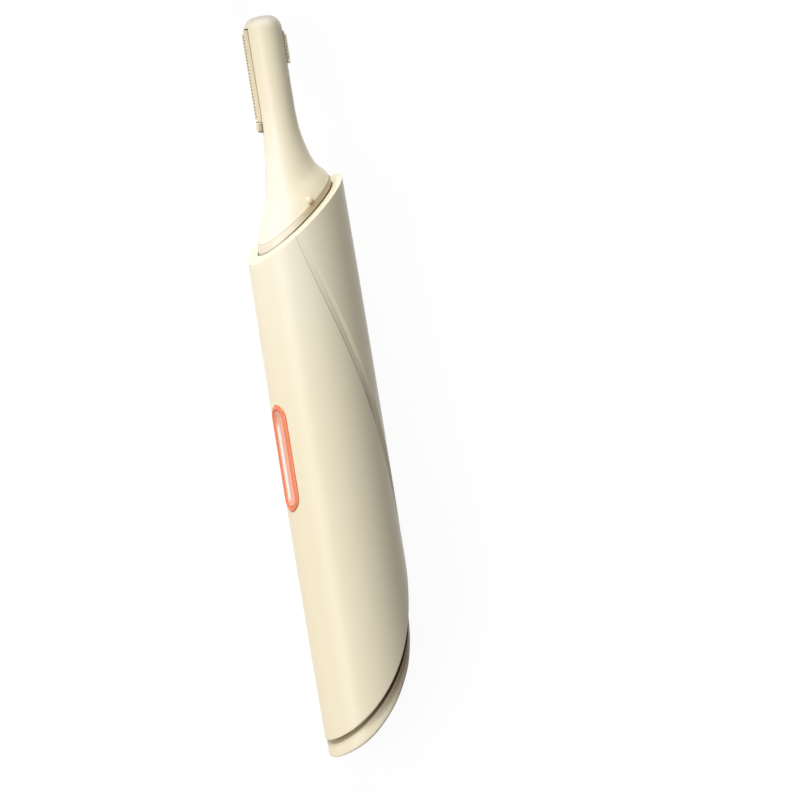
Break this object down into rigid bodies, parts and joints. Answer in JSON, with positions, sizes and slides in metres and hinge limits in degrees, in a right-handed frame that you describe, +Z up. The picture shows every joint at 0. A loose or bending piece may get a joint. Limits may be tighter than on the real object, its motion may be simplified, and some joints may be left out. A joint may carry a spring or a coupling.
{
  "type": "electric eyebrow trimmer",
  "caption": "Pen-shaped electric trimmer: slim round head with toothed combs front and back, oval handle with a wound crease and pill button, slanted base and slip-on cap.",
  "frame": {"origin": "centre of the bottom face of the bounding box, on the surface that the trimmer lies on", "axes": "X runs along the trimmer from head and cap at -X to the base at +X, -Y is the front with the button, and Z is up through the side with the crease"},
  "size_m": [0.206, 0.0206, 0.0187],
  "materials": {
    "cream_shell": "glossy warm cream",
    "orange_rim": "glossy orange",
    "coral_pad": "glossy translucent coral",
    "tan_collar": "satin tan",
    "white_resin": "moulded off-white",
    "dark_resin": "moulded dark grey",
    "board_green": "green board",
    "cell_sleeve": "plain blue sleeve",
    "plated_steel": "plated",
    "dark_steel": "darkened",
    "brass": "bright",
    "lead_red": "insulated lead"
  },
  "bodies": {
    "handle": {"outer_sleeve": "cream_shell", "button_bezel": "orange_rim", "inner_frame": "white_resin", "circuit_board": "board_green", "control_chip": "dark_resin", "tact_switch": "dark_resin", "aaa_battery": "cell_sleeve", "battery_contact_plate": "plated_steel", "motor_can": "plated_steel", "motor_end_bell": "white_resin", "motor_terminal_upper": "brass", "motor_terminal_lower": "brass", "motor_bearing": "brass", "motor_screw_upper": "plated_steel", "motor_screw_lower": "plated_steel", "motor_lead_upper": "lead_red", "motor_lead_lower": "lead_red"},
    "base": {"base_cap": "cream_shell", "base_contact_plate": "plated_steel", "battery_spring": "plated_steel"},
    "button": {"power_button": "coral_pad"},
    "rotor": {"motor_shaft": "plated_steel", "eccentric_cam": "white_resin"},
    "head": {"head_collar": "tan_collar", "head_shell": "cream_shell", "rocker_pin": "plated_steel", "long_comb": "cream_shell", "short_comb": "cream_shell", "long_comb_end_block": "cream_shell"},
    "rocker": {"rocker_lever": "white_resin"},
    "carrier": {"drive_rod": "white_resin", "long_moving_blade": "dark_steel", "short_moving_blade": "dark_steel"},
    "cap": {"cap_shell": "cream_shell"}
  },
  "joints": [
    {"name": "base_cap_pull", "type": "slide", "parent": "handle", "child": "base", "axis": [1, 0, 0], "range_m": [0, 0.015]},
    {"name": "power_press", "type": "slide", "parent": "handle", "child": "button", "axis": [0, 1, 0], "range_m": [0, 0.00045], "stiffness_N_per_m": 300},
    {"name": "motor_spin", "type": "hinge", "parent": "handle", "child": "rotor", "pos_m": [0.02311, 0.00013, 0.00935], "axis": [1, 0, 0], "continuous": true},
    {"name": "head_pull", "type": "slide", "parent": "handle", "child": "head", "axis": [-1, 0, 0], "range_m": [0, 0.014]},
    {"name": "rocker_swing", "type": "hinge", "parent": "head", "child": "rocker", "pos_m": [0.00111, 0.00013, 0.00935], "axis": [0, 0, 1], "range_deg": [-9.56, 9.56]},
    {"name": "blade_slide", "type": "slide", "parent": "head", "child": "carrier", "axis": [-1, 0, 0], "range_m": [-0.0006, 0.0006]},
    {"name": "cap_slide", "type": "slide", "parent": "head", "child": "cap", "axis": [-1, 0, 0], "range_m": [-0.054, 0]}
  ],
  "couplings": [
    {"joint": "rocker_swing", "follows": "blade_slide", "rad_per_m": 277.78}
  ]
}
